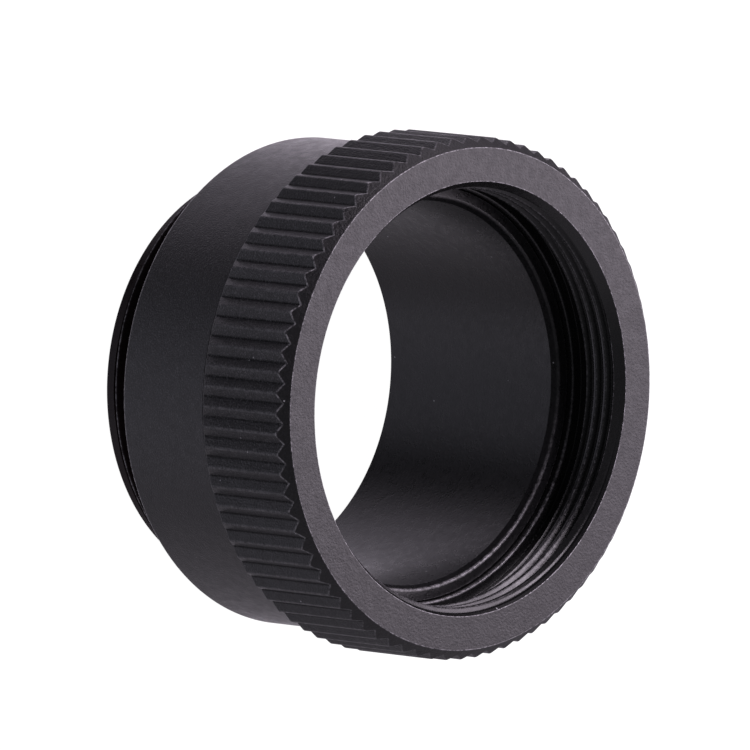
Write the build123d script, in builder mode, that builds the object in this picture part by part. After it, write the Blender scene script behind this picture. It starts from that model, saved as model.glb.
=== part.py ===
"""Threaded extension ring: a knurled collar turning on a flanged liner pressed into a threaded barrel.

The axis is +Z. The origin is the centre of the rim the ring stands on, at the male-thread end,
and the knurled collar with its female socket is at the top. Lengths are in millimetres.
"""
from build123d import *
from math import cos, radians, sin, tan
import os

os.makedirs("parts", exist_ok=True)

# Overall
overall_length = 18.3
aperture_radius = 11.3
edge_break = 0.12
bore_edge_break = 0.05

# Camera-lens thread, 25.4 mm by 32 turns to the 25.4 mm
pitch = 25.4 / 32
thread_major_radius = 12.7
female_crest_radius = thread_major_radius - 0.5413 * pitch
male_root_radius = thread_major_radius - 0.6134 * pitch
flank_half_angle = 30
cutter_overrun = 0.06

# Collar: depths are measured down from its front face
face_radius = 14.75
knurl_radius = 15.35
knurl_depth = 0.3
knurl_teeth = 80
knurl_phase = 3.4
ridge_flat = 0.07
valley_flat = 0.06
knurl_end_depth = 6.65
collar_end_depth = 7.62
collar_rear_radius = knurl_radius - (collar_end_depth - knurl_end_depth)
mouth_radius = 12.75
mouth_slope = 0.75
thread_end_depth = 2.8
relief_end_depth = 3.94
relief_radius = 12.95
lip_depth = 5.1
lip_radius = 11.9
first_crest_depth = 0.5

# Liner: the flange is the stop seen at the bottom of the socket
flange_depth = 4.35
flange_radius = 12.22
flange_back_depth = 5.05
liner_radius = 11.85
liner_end_depth = 13.4
throat_radius = 11.52
throat_end_depth = 4.78

# Barrel
barrel_radius = 14.35
barrel_front_depth = 7.68
seat_depth = 14.4
seat_inner_radius = 12.95
undercut = 0.15
male_relief_radius = 12.1
male_relief_end_depth = 15.3
male_crest_end_depth = 16.95
pilot_radius = 12.05
male_crest_height = 1.151


def section(points):
    """Closed half-section from (radius, depth) pairs, turned about the axis by the caller."""
    with BuildSketch(Plane.XZ) as half:
        with BuildLine():
            Polyline([(radius, overall_length - depth) for radius, depth in points], close=True)
        make_face()
    return half.sketch


def lead(start_height, turns):
    """Right-hand helix that a thread-cutting tool follows, starting on the +X side."""
    mean_radius = (female_crest_radius + thread_major_radius) / 2
    with BuildLine() as path:
        Helix(pitch=pitch, height=turns * pitch, radius=mean_radius, center=(0, 0, start_height))
    return path.line


def cutter(path, tip_radius, tip_flat, open_radius):
    """Flat-nosed 60 degree tool form, nose at tip_radius, set square to the helix at its start."""
    mean_radius = (female_crest_radius + thread_major_radius) / 2
    open_half = tip_flat / 2 + abs(open_radius - tip_radius) * tan(radians(flank_half_angle))
    with BuildSketch(Plane(origin=path @ 0, x_dir=(1, 0, 0), z_dir=path % 0)) as tool:
        with BuildLine():
            Polyline(
                (tip_radius - mean_radius, -tip_flat / 2),
                (tip_radius - mean_radius, tip_flat / 2),
                (open_radius - mean_radius, open_half),
                (open_radius - mean_radius, -open_half),
                close=True,
            )
        make_face()
    return tool.sketch


def knurl_outline():
    """Corner points of the straight V knurl, ridge and valley each with a narrow flat."""
    points = []
    step = 360 / knurl_teeth
    valley_radius = knurl_radius - knurl_depth
    ridge_half = ridge_flat / 2 / radians(knurl_radius)
    valley_half = valley_flat / 2 / radians(valley_radius)
    for tooth in range(knurl_teeth):
        ridge = knurl_phase + tooth * step
        valley = ridge + step / 2
        corners = [
            (knurl_radius, ridge - ridge_half),
            (knurl_radius, ridge + ridge_half),
            (valley_radius, valley - valley_half),
            (valley_radius, valley + valley_half),
        ]
        for radius, angle in corners:
            points.append((radius * cos(radians(angle)), radius * sin(radians(angle))))
    return points


# Knurled collar: female socket, thread relief, and the lip that runs on the liner
collar_half = section([
    (female_crest_radius, 0),
    (face_radius, 0),
    (knurl_radius + edge_break, knurl_radius + edge_break - face_radius),
    (knurl_radius + edge_break, knurl_end_depth - edge_break),
    (collar_rear_radius, collar_end_depth),
    (lip_radius + edge_break, collar_end_depth),
    (lip_radius, collar_end_depth - edge_break),
    (lip_radius, lip_depth + edge_break),
    (lip_radius + edge_break, lip_depth),
    (female_crest_radius, lip_depth),
    (female_crest_radius, relief_end_depth),
    (relief_radius, relief_end_depth),
    (relief_radius, thread_end_depth + (relief_radius - female_crest_radius) / 2),
    (female_crest_radius, thread_end_depth),
])
mouth_half = section([
    (aperture_radius, 0),
    (mouth_radius, 0),
    (aperture_radius, (mouth_radius - aperture_radius) / mouth_slope),
])
socket_start = overall_length - first_crest_depth - 3.5 * pitch
socket_lead = lead(socket_start, 5)
socket_tool = cutter(socket_lead, thread_major_radius, pitch / 8, female_crest_radius - cutter_overrun)

with BuildPart() as knurled_collar:
    add(collar_half)
    revolve(axis=Axis.Z)
    with BuildSketch(Plane.XY.offset(overall_length - collar_end_depth)):
        with BuildLine():
            Polyline(knurl_outline(), close=True)
        make_face()
    extrude(amount=collar_end_depth, mode=Mode.INTERSECT)
    add(socket_tool)
    sweep(path=socket_lead, is_frenet=True, mode=Mode.SUBTRACT)
    add(mouth_half)
    revolve(axis=Axis.Z, mode=Mode.SUBTRACT)
knurled_collar.part.label = "knurled_collar"
export_step(knurled_collar.part, "parts/knurled_collar.step")

# Flanged liner: front stop, running journal for the collar, and the tail pressed into the barrel
liner_half = section([
    (throat_radius, flange_depth),
    (flange_radius - edge_break / 2, flange_depth),
    (flange_radius, flange_depth + edge_break / 2),
    (flange_radius, flange_back_depth - edge_break / 2),
    (flange_radius - edge_break / 2, flange_back_depth),
    (liner_radius, flange_back_depth),
    (liner_radius, liner_end_depth - edge_break),
    (liner_radius - edge_break, liner_end_depth),
    (aperture_radius, liner_end_depth),
    (aperture_radius, throat_end_depth),
])

with BuildPart() as flanged_liner:
    add(liner_half)
    revolve(axis=Axis.Z)
flanged_liner.part.label = "flanged_liner"
export_step(flanged_liner.part, "parts/flanged_liner.step")

# Threaded barrel: plain body, seat for the camera side, thread relief, male thread and pilot
crest_drop = thread_major_radius - pilot_radius
barrel_half = section([
    (liner_radius, barrel_front_depth),
    (barrel_radius - edge_break, barrel_front_depth),
    (barrel_radius, barrel_front_depth + edge_break),
    (barrel_radius, seat_depth - edge_break),
    (barrel_radius - edge_break, seat_depth),
    (seat_inner_radius, seat_depth),
    (seat_inner_radius, seat_depth - undercut),
    (male_relief_radius, seat_depth - undercut),
    (male_relief_radius, male_relief_end_depth),
    (thread_major_radius, male_relief_end_depth + (thread_major_radius - male_relief_radius) / 2),
    (thread_major_radius, male_crest_end_depth),
    (pilot_radius, male_crest_end_depth + crest_drop),
    (pilot_radius, overall_length - edge_break),
    (pilot_radius - edge_break, overall_length),
    (aperture_radius + bore_edge_break, overall_length),
    (aperture_radius, overall_length - bore_edge_break),
    (aperture_radius, liner_end_depth),
    (liner_radius, liner_end_depth),
])
male_start = male_crest_height - 1.5 * pitch
male_lead = lead(male_start, 4.5)
male_tool = cutter(male_lead, male_root_radius, pitch / 4, thread_major_radius + cutter_overrun)

with BuildPart() as threaded_barrel:
    add(barrel_half)
    revolve(axis=Axis.Z)
    add(male_tool)
    sweep(path=male_lead, is_frenet=True, mode=Mode.SUBTRACT)
threaded_barrel.part.label = "threaded_barrel"
export_step(threaded_barrel.part, "parts/threaded_barrel.step")
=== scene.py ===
import math

import bmesh
import bpy
import numpy as np
from mathutils import Matrix, Vector


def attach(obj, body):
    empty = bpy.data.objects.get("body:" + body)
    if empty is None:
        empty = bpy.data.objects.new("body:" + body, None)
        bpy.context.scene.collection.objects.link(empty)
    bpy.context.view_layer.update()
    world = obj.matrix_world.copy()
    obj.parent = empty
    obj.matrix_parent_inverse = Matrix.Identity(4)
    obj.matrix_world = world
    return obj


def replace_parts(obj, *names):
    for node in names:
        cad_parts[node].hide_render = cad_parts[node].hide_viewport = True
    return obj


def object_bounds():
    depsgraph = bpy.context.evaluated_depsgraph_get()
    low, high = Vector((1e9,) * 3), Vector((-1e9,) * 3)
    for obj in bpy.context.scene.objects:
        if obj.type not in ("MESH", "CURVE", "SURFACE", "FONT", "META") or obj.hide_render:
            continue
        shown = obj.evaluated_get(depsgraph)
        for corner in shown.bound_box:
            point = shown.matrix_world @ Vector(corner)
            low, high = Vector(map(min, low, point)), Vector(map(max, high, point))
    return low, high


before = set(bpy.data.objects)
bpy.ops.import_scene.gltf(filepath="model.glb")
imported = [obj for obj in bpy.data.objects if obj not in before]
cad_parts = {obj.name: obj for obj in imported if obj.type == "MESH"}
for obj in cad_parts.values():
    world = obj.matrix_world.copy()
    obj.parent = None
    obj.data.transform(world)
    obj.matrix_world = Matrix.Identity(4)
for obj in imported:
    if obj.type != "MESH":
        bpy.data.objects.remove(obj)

cad_box = [list(corner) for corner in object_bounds()]

# Lengths are millimetres, and angles round the axis are degrees from +X. Names that end in TOP, END, BACK
# or FIRST_CREST are depths, measured down from the collar's front face. Plain names are radii.
MM = 0.001
LENGTH = round(cad_box[1][2] / MM, 3)
APERTURE = 11.3
EDGE_BREAK = 0.12
BORE_BREAK = 0.05

# Camera-lens thread, with its 60 degree form
PITCH = 25.4 / 32
MAJOR = 12.7
FEMALE_CREST = MAJOR - 0.5413 * PITCH
FEMALE_ROOT = 12.6
MALE_ROOT = MAJOR - 0.6134 * PITCH
FLANK_ANGLE = 30
ROWS_PER_TURN = 24
THREAD_SOFTNESS = 0.03

# Collar
TEETH = 80
TOOTH_PHASE = 3.4
RIDGE = 15.35
KNURL_DEPTH = 0.3
RIDGE_SOFT = 0.11
VALLEY_SOFT = 0.035
FACE = 14.73
KNURL_END = 6.65
COLLAR_END = 7.62
COLLAR_REAR = RIDGE - (COLLAR_END - KNURL_END)
MOUTH = 12.75
MOUTH_SLOPE = 0.75
SOCKET_TOP = 0.05
SOCKET_WEAR_TOP = 0.55
SOCKET_THREAD_END = 2.8
SOCKET_FIRST_CREST = 0.5
RELIEF = 12.95
RELIEF_TOP = 3.14
RELIEF_END = 3.94
LIP = 11.9
LIP_TOP = 5.1

# Liner
THROAT = 11.52
THROAT_END = 4.78
FLANGE = 12.22
FLANGE_TOP = 4.35
FLANGE_BACK = 5.05
LINER = 11.85
LINER_END = 13.4

# Barrel
BODY = 14.35
BODY_TOP = 7.68
BODY_END = 14.4
SEAT_INNER = 12.95
UNDERCUT_TOP = 14.25
MALE_RELIEF = 12.1
MALE_RELIEF_END = 15.3
MALE_FIRST_CREST = LENGTH - 1.151
MALE_CREST_END = 16.95
STUB_WEAR_END = 17.2
PILOT = 12.05
PILOT_TOP = MALE_CREST_END + MAJOR - PILOT


# ---------------------------------------------------------------- mesh code
EVEN_STEPS = 720
SHARP_ANGLE = 38
WELD = 0.0003 * MM
SLIVER = 0.00001 * MM


def softened(points, softness):
    """Repeating straight-line profile through points, its corners rounded by a moving average."""
    xs = np.array([p[0] for p in points], float)
    ys = np.array([p[1] for p in points], float)
    fine = np.linspace(xs[0], xs[-1], 8001)
    value = np.interp(fine, xs, ys)
    total = np.concatenate([[0], np.cumsum((value[1:] + value[:-1]) / 2 * np.diff(fine))])
    span = xs[-1] - xs[0]

    def running(x):
        whole = np.floor((x - xs[0]) / span)
        return np.interp(x - whole * span, fine, total) + whole * total[-1]

    return lambda x: (running(x + softness) - running(x - softness)) / (2 * softness)


def thread_form(root, crest, half_root, half_crest):
    """Radius across one pitch of thread, with the crest in the middle."""
    half_pitch = PITCH / 2
    return softened(
        [(-half_pitch, root), (half_root - half_pitch, root), (-half_crest, crest),
         (half_crest, crest), (half_pitch - half_root, root), (half_pitch, root)],
        THREAD_SOFTNESS)


female_half_root = PITCH / 16 + (MAJOR - FEMALE_ROOT) * math.tan(math.radians(FLANK_ANGLE))
female_form = thread_form(FEMALE_ROOT, FEMALE_CREST, female_half_root, PITCH / 8)
male_form = thread_form(MALE_ROOT, MAJOR, PITCH / 8, PITCH / 16)


def thread_rows(theta, top, bottom, first_crest, radius_at, wear_at, slot):
    """Rows that follow the right-hand helix and are squeezed flat where they pass the ends."""
    turns_down = theta / 360 * PITCH
    start = math.floor((top - first_crest) / PITCH) - 1
    stop = math.ceil((bottom + PITCH - first_crest) / PITCH) + 1
    rows = []
    for step in range(start * ROWS_PER_TURN, stop * ROWS_PER_TURN + 1):
        lead = first_crest + step / ROWS_PER_TURN * PITCH - turns_down
        depth = np.clip(lead, top, bottom)
        phase = depth - first_crest + turns_down
        phase = phase - np.round(phase / PITCH) * PITCH
        rows.append((radius_at(phase, depth), depth, wear_at(phase, depth), slot))
    return rows


def corner_rows(before, corners, after, count, slots):
    """Rows round a run of corners (radius, depth, rounding, wear with painted light), between two end
    points.

    A fifth and a sixth value are the wear and painted shade on the straight stretches before and after the
    corner.
    slots holds the material of the stretch before each corner, then the one after the last.
    """
    def spot_at(radius, depth):
        return np.stack([np.broadcast_to(radius, count), np.broadcast_to(depth, count)]).astype(float)

    arc_steps = 4
    chain = [spot_at(*before)] + [spot_at(*corner[:2]) for corner in corners] + [spot_at(*after)]
    rows = []
    for i, (_, _, rounding, wear_and_painted_light, *along) in enumerate(corners, start=1):
        before_wear_and_shade, after_wear_and_shade = [np.broadcast_to(w, count) for w in along or (0.0, 0.0)]
        here = chain[i]
        slot = slots[i - 1]
        next_slot = slots[i]
        if rounding == 0:
            rows.append((here[0], here[1], after_wear_and_shade, next_slot))
            continue
        back, ahead = chain[i - 1] - here, chain[i + 1] - here
        back_len, ahead_len = np.hypot(*back), np.hypot(*ahead)
        back, ahead = back / back_len, ahead / ahead_len
        opening = np.arccos(np.clip((back * ahead).sum(0), -1, 1))
        # each end of the arc takes less than half of its stretch, so that neighbours never cross
        reach = np.minimum(rounding / np.tan(opening / 2), 0.42 * np.minimum(back_len, ahead_len))
        support = np.minimum(0.5 * reach, 0.03)
        enter = here + back * (reach + support)
        rows.append((enter[0], enter[1], before_wear_and_shade, slot))
        for k in range(arc_steps + 1):
            t = k / arc_steps
            spot = here + back * reach * (1 - t) ** 2 + ahead * reach * t ** 2
            edge = wear_and_painted_light * math.sin(math.pi * (0.15 + 0.7 * t))
            rows.append((spot[0], spot[1], edge, slot if k < arc_steps else next_slot))
        leave = here + ahead * (reach + support)
        rows.append((leave[0], leave[1], after_wear_and_shade, next_slot))
    return rows


def turned_piece(name, theta, rows, materials):
    """Closed mesh from rows of (radius, depth, wear with painted highlight and shade, material), welded
    where rows run together.
    """
    count = len(theta)
    radius = np.array([np.broadcast_to(r[0], count) for r in rows], float)
    height = LENGTH - np.array([np.broadcast_to(r[1], count) for r in rows], float)
    wear_and_painted_light = np.array([np.broadcast_to(r[2], count) for r in rows], float)
    angle = np.radians(theta)
    points = np.stack([radius * np.cos(angle), radius * np.sin(angle), height], -1).reshape(-1, 3) * MM
    index = np.arange(radius.size).reshape(radius.shape)
    below = np.roll(index, -1, 0)
    quads = np.stack([index[:, :-1], index[:, 1:], below[:, 1:], below[:, :-1]], -1).reshape(-1, 4)
    mesh = bpy.data.meshes.new(name)
    mesh.from_pydata(points.tolist(), [], quads.tolist())
    names = [m.name for m in materials]
    slots = np.repeat([names.index(r[3].name) for r in rows], count - 1).astype(np.int32)
    mesh.polygons.foreach_set("material_index", slots)
    layer = mesh.attributes.new("wear_and_painted_light", "FLOAT", "POINT")
    layer.data.foreach_set("value", wear_and_painted_light.ravel().astype(np.float32))
    for material in materials:
        mesh.materials.append(material)
    bm = bmesh.new()
    bm.from_mesh(mesh)
    bmesh.ops.remove_doubles(bm, verts=bm.verts, dist=WELD)
    bmesh.ops.dissolve_degenerate(bm, edges=bm.edges, dist=SLIVER)
    bmesh.ops.recalc_face_normals(bm, faces=bm.faces)
    for face in bm.faces:
        face.smooth = True
    bm.to_mesh(mesh)
    bm.free()
    mesh.set_sharp_from_angle(angle=math.radians(SHARP_ANGLE))
    piece = bpy.data.objects.new(name, mesh)
    bpy.context.scene.collection.objects.link(piece)
    return piece


# ---------------------------------------------------------------- knurl
TOOTH = 360 / TEETH
TOOTH_WIDTH = math.radians(TOOTH) * (RIDGE - KNURL_DEPTH / 2)
flank_slope = KNURL_DEPTH / (TOOTH_WIDTH / 2 - RIDGE_SOFT / 2 - VALLEY_SOFT / 2)


def knurl(theta):
    """Radius of the straight knurl at each angle: V flanks, broad rounded ridges, narrow valleys."""
    across = np.abs(((theta - TOOTH_PHASE) / TOOTH + 0.5) % 1 - 0.5) * TOOTH_WIDTH
    from_valley = TOOTH_WIDTH / 2 - across
    flank = RIDGE + flank_slope * (RIDGE_SOFT / 2 - across)
    ridge = RIDGE - flank_slope * across ** 2 / (2 * RIDGE_SOFT)
    valley = RIDGE - KNURL_DEPTH + flank_slope * from_valley ** 2 / (2 * VALLEY_SOFT)
    return np.where(across < RIDGE_SOFT, ridge, np.where(from_valley < VALLEY_SOFT, valley, flank))


def collar_angles():
    """Angles from 0 to 360, closer together on each ridge tip and in each valley."""
    ridge = np.linspace(-RIDGE_SOFT, RIDGE_SOFT, 7) / TOOTH_WIDTH
    valley = 0.5 + np.linspace(-3 * VALLEY_SOFT, 3 * VALLEY_SOFT, 7) / TOOTH_WIDTH
    flank = np.array([0.17, 0.225]) / TOOTH_WIDTH
    steps = np.concatenate([ridge, flank, valley, 1 - flank])
    angles = np.concatenate([TOOTH_PHASE + (k + steps) * TOOTH for k in range(TEETH)]) % 360
    return np.unique(np.concatenate([[0.0], np.round(angles, 6), [360.0]]))


# ---------------------------------------------------------------- materials
# pale metal shown where wear thins the dye, also the colour of the painted highlights
BARE_METAL_AND_HIGHLIGHT = (0.40, 0.39, 0.41, 1)
DUST = (0.45, 0.45, 0.47, 1)
DUSTY_SIDE = 168


def link(tree, source, target):
    tree.links.new(source, target)


def maths(tree, operation, a, b=None, clamp=False):
    made = tree.nodes.new("ShaderNodeMath")
    made.operation = operation
    made.use_clamp = clamp
    for slot, value in enumerate([a, b]):
        if value is None:
            continue
        if isinstance(value, (int, float)):
            made.inputs[slot].default_value = value
        else:
            link(tree, value, made.inputs[slot])
    return made.outputs[0]


def spread(tree, value, low, high, to_low, to_high):
    """Value taken smoothly from the range low to high onto the range to_low to to_high."""
    made = tree.nodes.new("ShaderNodeMapRange")
    made.interpolation_type = "SMOOTHSTEP"
    link(tree, value, made.inputs["Value"])
    made.inputs["From Min"].default_value = low
    made.inputs["From Max"].default_value = high
    made.inputs["To Min"].default_value = to_low
    made.inputs["To Max"].default_value = to_high
    return made.outputs["Result"]


def scaled(tree, vector, factor):
    made = tree.nodes.new("ShaderNodeVectorMath")
    made.operation = "SCALE"
    link(tree, vector, made.inputs[0])
    if isinstance(factor, (int, float)):
        made.inputs["Scale"].default_value = factor
    else:
        link(tree, factor, made.inputs["Scale"])
    return made.outputs["Vector"]


def noise(tree, vector, scale, detail, rough, seed):
    made = tree.nodes.new("ShaderNodeTexNoise")
    made.noise_dimensions = "4D"
    made.inputs["Scale"].default_value = scale
    made.inputs["Detail"].default_value = detail
    made.inputs["Roughness"].default_value = rough
    made.inputs["W"].default_value = seed
    link(tree, vector, made.inputs["Vector"])
    return made.outputs["Fac"]


def blended(tree, below, above_colour, factor):
    """Mix from a colour, or a socket that gives one, towards above_colour."""
    made = tree.nodes.new("ShaderNodeMix")
    made.data_type = "RGBA"
    made.inputs["B"].default_value = above_colour
    if isinstance(below, tuple):
        made.inputs["A"].default_value = below
    else:
        link(tree, below, made.inputs["A"])
    link(tree, factor, made.inputs["Factor"])
    return made.outputs["Result"]


def lay_place(tree, spot, axial):
    """Angle round the axis, and the place stretched along the lay of the tool marks."""
    parts = tree.nodes.new("ShaderNodeSeparateXYZ")
    link(tree, spot, parts.inputs[0])
    x, y, height = parts.outputs
    angle = maths(tree, "ARCTAN2", y, x)
    stretched = tree.nodes.new("ShaderNodeCombineXYZ")
    if axial:
        link(tree, maths(tree, "MULTIPLY", angle, RIDGE), stretched.inputs[0])
        link(tree, maths(tree, "MULTIPLY", height, 0.06), stretched.inputs[1])
    else:
        squares = maths(tree, "ADD", maths(tree, "MULTIPLY", x, x), maths(tree, "MULTIPLY", y, y))
        link(tree, maths(tree, "SQRT", squares), stretched.inputs[0])
        link(tree, height, stretched.inputs[1])
        link(tree, maths(tree, "MULTIPLY", angle, 0.35), stretched.inputs[2])
    return angle, stretched.outputs[0]


def dust_cover(tree, spot, angle, sparkle, specks):
    """Fine pale speckle, thickest on the dusty side, and a few larger specks chosen at random."""
    crystals = noise(tree, spot, 11.0, detail=1.0, rough=0.5, seed=6.0)
    facing = maths(tree, "COSINE", maths(tree, "SUBTRACT", angle, math.radians(DUSTY_SIDE)))
    thick = spread(tree, facing, 0.7, 0.98, 0.25, 1.0)
    speckle = maths(tree, "MULTIPLY", spread(tree, crystals, 0.50, 0.70, 0.0, sparkle), thick)
    dots = tree.nodes.new("ShaderNodeTexVoronoi")
    dots.inputs["Scale"].default_value = 1.6
    link(tree, spot, dots.inputs["Vector"])
    near = spread(tree, dots.outputs["Distance"], 0.05, 0.10, 1.0, 0.0)
    chance = tree.nodes.new("ShaderNodeSeparateXYZ")
    link(tree, dots.outputs["Color"], chance.inputs[0])
    rare = maths(tree, "LESS_THAN", chance.outputs[0], specks)
    return maths(tree, "MAXIMUM", maths(tree, "MULTIPLY", near, rare), speckle)


def layered_bump(tree, layers):
    """Normal after each (height, depth in mm) has been laid over the ones before it."""
    normal = None
    for height, depth in layers:
        bump = tree.nodes.new("ShaderNodeBump")
        bump.inputs["Distance"].default_value = depth * MM
        link(tree, height, bump.inputs["Height"])
        if normal:
            link(tree, normal, bump.inputs["Normal"])
        normal = bump.outputs["Normal"]
    return normal


def anodised(name, colour, roughness, grain, lumps, lay, sparkle, specks=0.02, gloss=0.5, axial=False):
    """Black anodised aluminium. grain, lumps and lay are (size in mm, height in mm).

    The lay is the fine tool marking, which runs round the axis, or along it where axial is set.
    """
    material = bpy.data.materials.new(name)
    material.use_nodes = True
    tree = material.node_tree
    shader = tree.nodes["Principled BSDF"]
    spot = scaled(tree, tree.nodes.new("ShaderNodeTexCoord").outputs["Object"], 1 / MM)
    angle, along_lay = lay_place(tree, spot, axial)
    fine = noise(tree, spot, 1 / grain[0], detail=2.0, rough=0.55, seed=1.0)
    coarse = noise(tree, spot, 1 / lumps[0], detail=3.0, rough=0.6, seed=2.0)
    cloud = noise(tree, spot, 0.16, detail=4.0, rough=0.6, seed=3.0)
    lines = noise(tree, along_lay, 1 / lay[0], detail=2.0, rough=0.5, seed=4.0)
    patchy = noise(tree, spot, 4.0, detail=3.0, rough=0.7, seed=5.0)

    # positive values show bare metal in patches, as wear and as painted highlight; negative values are
    # painted shade that darkens and dulls
    wear_and_painted_light = tree.nodes.new("ShaderNodeAttribute")
    wear_and_painted_light.attribute_name = "wear_and_painted_light"
    wear_and_highlight = maths(tree, "MAXIMUM", wear_and_painted_light.outputs["Fac"], 0.0)
    wear_and_highlight = maths(tree, "MULTIPLY", wear_and_highlight, spread(tree, patchy, 0.38, 0.62, 0.1, 1.0))
    painted_shade_factor = maths(tree, "ADD", wear_and_painted_light.outputs["Fac"], 1.0, clamp=True)

    # the dye varies slowly over the surface, and from grain to grain
    shade = spread(tree, cloud, 0.25, 0.75, 0.75, 1.25)
    shade = maths(tree, "MULTIPLY", shade, spread(tree, fine, 0.3, 0.7, 0.7, 1.3))
    # painted shade: negative values darken the colour, in the knurl valleys
    shade = maths(tree, "MULTIPLY", shade, painted_shade_factor)
    dyed = blended(tree, (*colour, 1), BARE_METAL_AND_HIGHLIGHT, maths(tree, "MULTIPLY", wear_and_highlight, 0.8))
    toned = scaled(tree, dyed, shade)
    dusted = blended(tree, toned, DUST, dust_cover(tree, spot, angle, sparkle, specks))
    link(tree, dusted, shader.inputs["Base Color"])

    rough = maths(tree, "ADD", spread(tree, coarse, 0.25, 0.75, -0.06, 0.06), roughness)
    rough = maths(tree, "SUBTRACT", rough, maths(tree, "MULTIPLY", wear_and_highlight, 0.12))
    link(tree, maths(tree, "MAXIMUM", rough, 0.12), shader.inputs["Roughness"])
    link(tree, maths(tree, "MULTIPLY", painted_shade_factor, gloss), shader.inputs["Specular IOR Level"])
    normal = layered_bump(tree, [(lines, lay[1]), (coarse, lumps[1]), (fine, grain[1])])
    link(tree, normal, shader.inputs["Normal"])
    return material


blasted = anodised(
    "blasted_face", (0.0065, 0.0063, 0.0072), roughness=0.44,
    grain=(0.15, 0.033), lumps=(0.5, 0.005), lay=(0.08, 0.0005), sparkle=0.03)
knurled = anodised(
    "knurled_band", (0.0155, 0.0155, 0.0172), roughness=0.44,
    grain=(0.11, 0.060), lumps=(0.5, 0.01), lay=(0.10, 0.025), sparkle=0.16, specks=0.22, axial=True)
satin = anodised(
    "satin_body", (0.0078, 0.0078, 0.0088), roughness=0.36,
    grain=(0.10, 0.034), lumps=(0.5, 0.003), lay=(0.07, 0.0005), sparkle=0.09)
bored = anodised(
    "smooth_bore", (0.0115, 0.0115, 0.0122), roughness=0.30,
    grain=(0.12, 0.014), lumps=(0.5, 0.008), lay=(0.09, 0.003), sparkle=0.02, gloss=0.35)
glossy = anodised(
    "cut_thread", (0.0100, 0.0100, 0.0104), roughness=0.26,
    grain=(0.10, 0.007), lumps=(0.4, 0.005), lay=(0.05, 0.0015), sparkle=0.01, specks=0.012, gloss=0.46)
stub_end = anodised(
    "cut_stub", (0.0160, 0.0100, 0.0105), roughness=0.30,
    grain=(0.12, 0.006), lumps=(0.4, 0.004), lay=(0.05, 0.002), sparkle=0.01, specks=0.012, gloss=0.115)


# ---------------------------------------------------------------- wear and painted light
def one_side(theta, middle, power):
    """One at the middle angle, falling to nothing a quarter turn away."""
    return np.clip(np.cos(np.radians(theta - middle)), 0, 1) ** power


def edge_wear_and_highlight(theta):
    """Wear of the inner edges, plus a painted highlight strongest on one side."""
    return 0.1 + 0.8 * one_side(theta, 302, 5)


def tooth_wear_and_shade(radius):
    """Wear along the knurl: rubbed ridge tips, and painted shade that darkens and dulls the valleys."""
    on_ridge = np.clip(1 - (RIDGE - radius) / 0.03, 0, 1)
    in_valley = np.clip(1 - (radius - RIDGE + KNURL_DEPTH) / 0.045, 0, 1)
    # the negative part is painted shade in the valleys
    return 0.25 * on_ridge - 0.75 * in_valley


# ---------------------------------------------------------------- collar
def socket_radius(phase, depth):
    return np.maximum(female_form(phase), MOUTH - MOUTH_SLOPE * depth)


def socket_wear(phase, depth):
    on_crest = np.clip(1 - np.abs(np.abs(phase) - PITCH / 8) / 0.04, 0, 1)
    return 0.5 * on_crest * (depth > SOCKET_WEAR_TOP)


def collar_look():
    theta = collar_angles()
    knurl_radius = knurl(theta)
    # ridge wear, and painted shade in the valleys
    knurl_wear_and_shade = tooth_wear_and_shade(knurl_radius)
    # even edge wear, plus a painted highlight on the front zigzag edge, strongest on one side
    front_wear_and_highlight = 0.3 + 0.9 * one_side(theta, 165, 2)
    rows = thread_rows(theta, SOCKET_TOP, SOCKET_THREAD_END, SOCKET_FIRST_CREST,
                       socket_radius, socket_wear, glossy)
    rows += corner_rows(
        (FEMALE_CREST, SOCKET_THREAD_END - 0.2),
        [(RELIEF, RELIEF_TOP, 0.05, 0),
         (RELIEF, RELIEF_END, 0.05, 0),
         # edge wear with a painted highlight on one side
         (FEMALE_CREST, RELIEF_END, 0.13, edge_wear_and_highlight(theta)),
         (FEMALE_CREST, LIP_TOP, 0.04, 0),
         (LIP + EDGE_BREAK, LIP_TOP, 0.02, 0),
         (LIP, LIP_TOP + EDGE_BREAK, 0.02, 0),
         (LIP, COLLAR_END - EDGE_BREAK, 0.02, 0),
         (LIP + EDGE_BREAK, COLLAR_END, 0.02, 0),
         (COLLAR_REAR, COLLAR_END, 0.05, 0.3),
         (knurl_radius, KNURL_END + RIDGE - knurl_radius, 0.10, 0.4, 0, knurl_wear_and_shade),
         (knurl_radius, knurl_radius - FACE, 0.15, front_wear_and_highlight, knurl_wear_and_shade, 0),
         (FACE, 0, 0.07, 1.0),
         (MOUTH, 0, 0.08, 1.2)],
        (MOUTH - SOCKET_TOP * MOUTH_SLOPE, SOCKET_TOP), len(theta),
        [glossy] * 8 + [knurled] * 3 + [blasted] * 2 + [glossy])
    return turned_piece("collar_look", theta, rows, [blasted, knurled, glossy])


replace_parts(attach(collar_look(), "collar"), "knurled_collar")


# ---------------------------------------------------------------- liner
def liner_look():
    theta = np.linspace(0, 360, EVEN_STEPS + 1)
    rows = corner_rows(
        (APERTURE, LINER_END),
        [(APERTURE, THROAT_END, 0.05, 0.1),
         # edge wear with a painted highlight on one side
         (THROAT, FLANGE_TOP, 0.20, edge_wear_and_highlight(theta)),
         (FLANGE, FLANGE_TOP, 0.05, 0.3),
         (FLANGE, FLANGE_BACK, 0.05, 0),
         (LINER, FLANGE_BACK, 0.02, 0),
         (LINER, LINER_END, 0, 0),
         (APERTURE, LINER_END, 0, 0)],
        (APERTURE, THROAT_END), len(theta), [bored] * 8)
    return turned_piece("liner_look", theta, rows, [bored])


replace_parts(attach(liner_look(), "barrel"), "flanged_liner")


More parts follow.
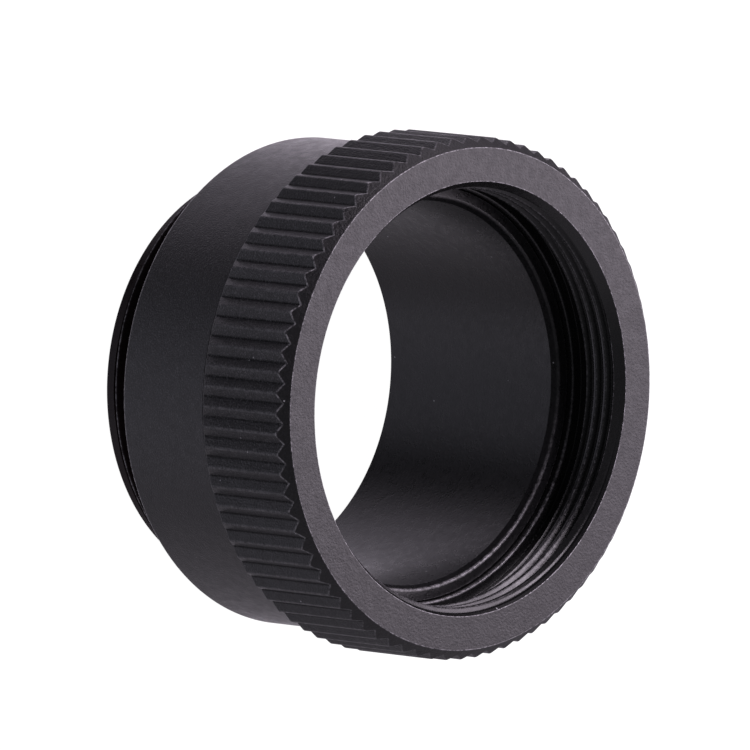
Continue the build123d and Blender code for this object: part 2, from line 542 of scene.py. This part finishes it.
# ---------------------------------------------------------------- barrel
def stub_radius(phase, depth):
    relief_side = MALE_RELIEF + (depth - MALE_RELIEF_END) * 2
    nose_side = MAJOR - (depth - MALE_CREST_END)
    return np.minimum(np.minimum(male_form(phase), relief_side), nose_side)


def stub_wear(phase, depth):
    return np.clip(1 - np.abs(phase) / 0.07, 0, 1) * (depth < STUB_WEAR_END)


def barrel_look():
    theta = np.linspace(0, 360, EVEN_STEPS + 1)
    rows = thread_rows(theta, MALE_RELIEF_END, PILOT_TOP, MALE_FIRST_CREST,
                       stub_radius, stub_wear, stub_end)
    rows += corner_rows(
        (PILOT + 0.25, PILOT_TOP - 0.25),
        [(PILOT, PILOT_TOP, 0.06, 0),
         (PILOT, LENGTH - EDGE_BREAK, 0.04, 0.4),
         (PILOT - EDGE_BREAK, LENGTH, 0.04, 0.4),
         (APERTURE + BORE_BREAK, LENGTH, 0.02, 0.5),
         (APERTURE, LENGTH - BORE_BREAK, 0.02, 0.5),
         (APERTURE, LINER_END, 0, 0),
         (LINER, LINER_END, 0, 0),
         (LINER, BODY_TOP, 0.03, 0),
         (BODY, BODY_TOP, 0.1, 0.3),
         (BODY, BODY_END, 0.13, 1.0),
         (SEAT_INNER, BODY_END, 0.03, 0.3),
         (SEAT_INNER, UNDERCUT_TOP, 0.02, 0),
         (MALE_RELIEF, UNDERCUT_TOP, 0.03, 0),
         (MALE_RELIEF, MALE_RELIEF_END, 0.03, 0)],
        (MALE_RELIEF + 0.2, MALE_RELIEF_END + 0.1), len(theta),
        [stub_end] * 4 + [bored] * 3 + [satin] * 4 + [stub_end] * 4)
    return turned_piece("barrel_look", theta, rows, [satin, stub_end, bored])


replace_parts(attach(barrel_look(), "barrel"), "threaded_barrel")

# ---------------------------------------------------------------- camera
# The line of sight is 44.7 degrees off the axis. The camera is rolled so the axis runs across the picture.
CAMERA_DISTANCE = 1.4157
CAMERA_LENS = 1163.7
SENSOR_WIDTH = 36
AIM_RIGHT = -5.62 * MM
AIM_UP = 1.41 * MM
face_centre = Vector((0, 0, LENGTH * MM))
camera_right = Vector((0.7134, 0.0530, 0.6988)).normalized()
camera_back = Vector((-0.7008, 0.0539, 0.7113)).normalized()
camera_up = camera_back.cross(camera_right).normalized()
camera_right = camera_up.cross(camera_back)
aim = face_centre + camera_right * AIM_RIGHT + camera_up * AIM_UP
camera_data = bpy.data.cameras.new("camera")
camera_data.sensor_width = SENSOR_WIDTH
camera_data.lens = CAMERA_LENS
camera_data.clip_end = 20
camera = bpy.data.objects.new("camera", camera_data)
turn = Matrix((camera_right, camera_up, camera_back)).transposed()
camera.matrix_world = Matrix.Translation(aim + camera_back * CAMERA_DISTANCE) @ turn.to_4x4()
bpy.context.scene.collection.objects.link(camera)
bpy.context.scene.camera = camera

# ---------------------------------------------------------------- light
ROSE = (1.0, 0.89, 1.02)
PINK = (0.98, 0.89, 1.04)
PALE = (1.0, 0.92, 1.04)
COOL = (0.98, 0.95, 1.12)
WHITE = (1.0, 1.0, 1.05)
AMBIENT = (0.057, 0.056, 0.064)

# Each patch: direction (right, up, towards the camera) as the camera sees it, the angle where its
# fade starts, the angle where it ends, strength, tint
patches = [
    ((0.71, 0.57, 0.43), 5, 16, 9.0, ROSE),
    ((0.82, 0.57, -0.06), 6, 16, 0.9, ROSE),
    ((0.60, 0.80, -0.05), 6, 18, 1.00, ROSE),
    ((0.98, -0.10, 0.00), 20, 46, 0.82, ROSE),
    ((0.42, 0.90, 0.00), 8, 22, 0.24, ROSE),
    ((0.02, 0.12, -0.99), 6, 32, 0.85, ROSE),
    ((-0.22, 0.66, -0.72), 12, 42, 0.72, PINK),
    ((-1.00, -0.03, -0.06), 12, 40, 0.51, COOL),
    ((-0.10, -0.90, -0.35), 30, 85, 0.31, PALE),
    ((-0.30, -0.58, -0.76), 8, 28, 0.08, ROSE),
    ((-0.25, -0.40, 0.88), 20, 70, 0.09, WHITE),
]
world = bpy.data.worlds.new("studio")
world.use_nodes = True
bpy.context.scene.world = world
sky = world.node_tree
sky.nodes.clear()
toward = sky.nodes.new("ShaderNodeTexCoord")


def glow(direction, inner, outer, strength, tint):
    """Soft round patch of studio light around a direction, fading between two angles."""
    aimed = sky.nodes.new("ShaderNodeVectorMath")
    aimed.operation = "DOT_PRODUCT"
    link(sky, toward.outputs["Generated"], aimed.inputs[0])
    aimed.inputs[1].default_value = direction.normalized()
    share = spread(sky, aimed.outputs["Value"], math.cos(math.radians(outer)),
                   math.cos(math.radians(inner)), 0.0, strength)
    tinted = sky.nodes.new("ShaderNodeVectorMath")
    tinted.operation = "SCALE"
    tinted.inputs[0].default_value = tint
    link(sky, share, tinted.inputs["Scale"])
    return tinted.outputs["Vector"]


ambient = sky.nodes.new("ShaderNodeCombineXYZ")
for socket, level in zip(ambient.inputs, AMBIENT):
    socket.default_value = level
light = ambient.outputs[0]
for (right, up, back), inner, outer, strength, tint in patches:
    direction = camera_right * right + camera_up * up + camera_back * back
    total = sky.nodes.new("ShaderNodeVectorMath")
    link(sky, light, total.inputs[0])
    link(sky, glow(direction, inner, outer, strength, tint), total.inputs[1])
    light = total.outputs["Vector"]
studio = sky.nodes.new("ShaderNodeBackground")
link(sky, light, studio.inputs["Color"])

# the camera itself sees plain white behind the object
paper = sky.nodes.new("ShaderNodeBackground")
paper.inputs["Color"].default_value = (1, 1, 1, 1)
seen = sky.nodes.new("ShaderNodeLightPath")
mixed = sky.nodes.new("ShaderNodeMixShader")
link(sky, seen.outputs["Is Camera Ray"], mixed.inputs[0])
link(sky, studio.outputs[0], mixed.inputs[1])
link(sky, paper.outputs[0], mixed.inputs[2])
out = sky.nodes.new("ShaderNodeOutputWorld")
link(sky, mixed.outputs[0], out.inputs["Surface"])

# a square panel close by on the right, which lights the front face more above than below
PANEL_SIZE = 0.12
PANEL_DISTANCE = 0.12
PANEL_BRIGHTNESS = 2.95
panel_data = bpy.data.lights.new("side_panel", "AREA")
panel_data.size = PANEL_SIZE
panel_data.color = (0.98, 0.87, 1.0)
panel_data.energy = PANEL_BRIGHTNESS * math.pi * PANEL_SIZE ** 2
panel = bpy.data.objects.new("side_panel", panel_data)
panel_side = (camera_right + camera_up * 0.26 + camera_back * 0.02).normalized()
panel.matrix_world = (Matrix.Translation(face_centre + panel_side * PANEL_DISTANCE)
                      @ panel_side.to_track_quat("Z", "Y").to_matrix().to_4x4())
panel.visible_camera = False
bpy.context.scene.collection.objects.link(panel)

# ---------------------------------------------------------------- floor
# It glows white to the camera. Mirror, diffuse and shadow rays pass it by, so it doesn't light the object.
FLOOR_REACH = 1.5
floor_material = bpy.data.materials.new("pale_floor")
floor_material.use_nodes = True
floor_shader = floor_material.node_tree.nodes["Principled BSDF"]
floor_shader.inputs["Base Color"].default_value = (0.1, 0.1, 0.1, 1)
floor_shader.inputs["Roughness"].default_value = 0.9
floor_shader.inputs["Emission Color"].default_value = (1, 1, 1, 1)
floor_shader.inputs["Emission Strength"].default_value = 1.0
floor_corners = [(x * FLOOR_REACH, y * FLOOR_REACH, 0) for x, y in ((-1, -1), (1, -1), (1, 1), (-1, 1))]
floor_mesh = bpy.data.meshes.new("floor")
floor_mesh.from_pydata(floor_corners, [], [(0, 1, 2, 3)])
floor_mesh.materials.append(floor_material)
floor = bpy.data.objects.new("floor", floor_mesh)
floor.visible_glossy = False
floor.visible_diffuse = False
floor.visible_shadow = False
bpy.context.scene.collection.objects.link(floor)

bpy.context.scene.view_settings.view_transform = "Standard"
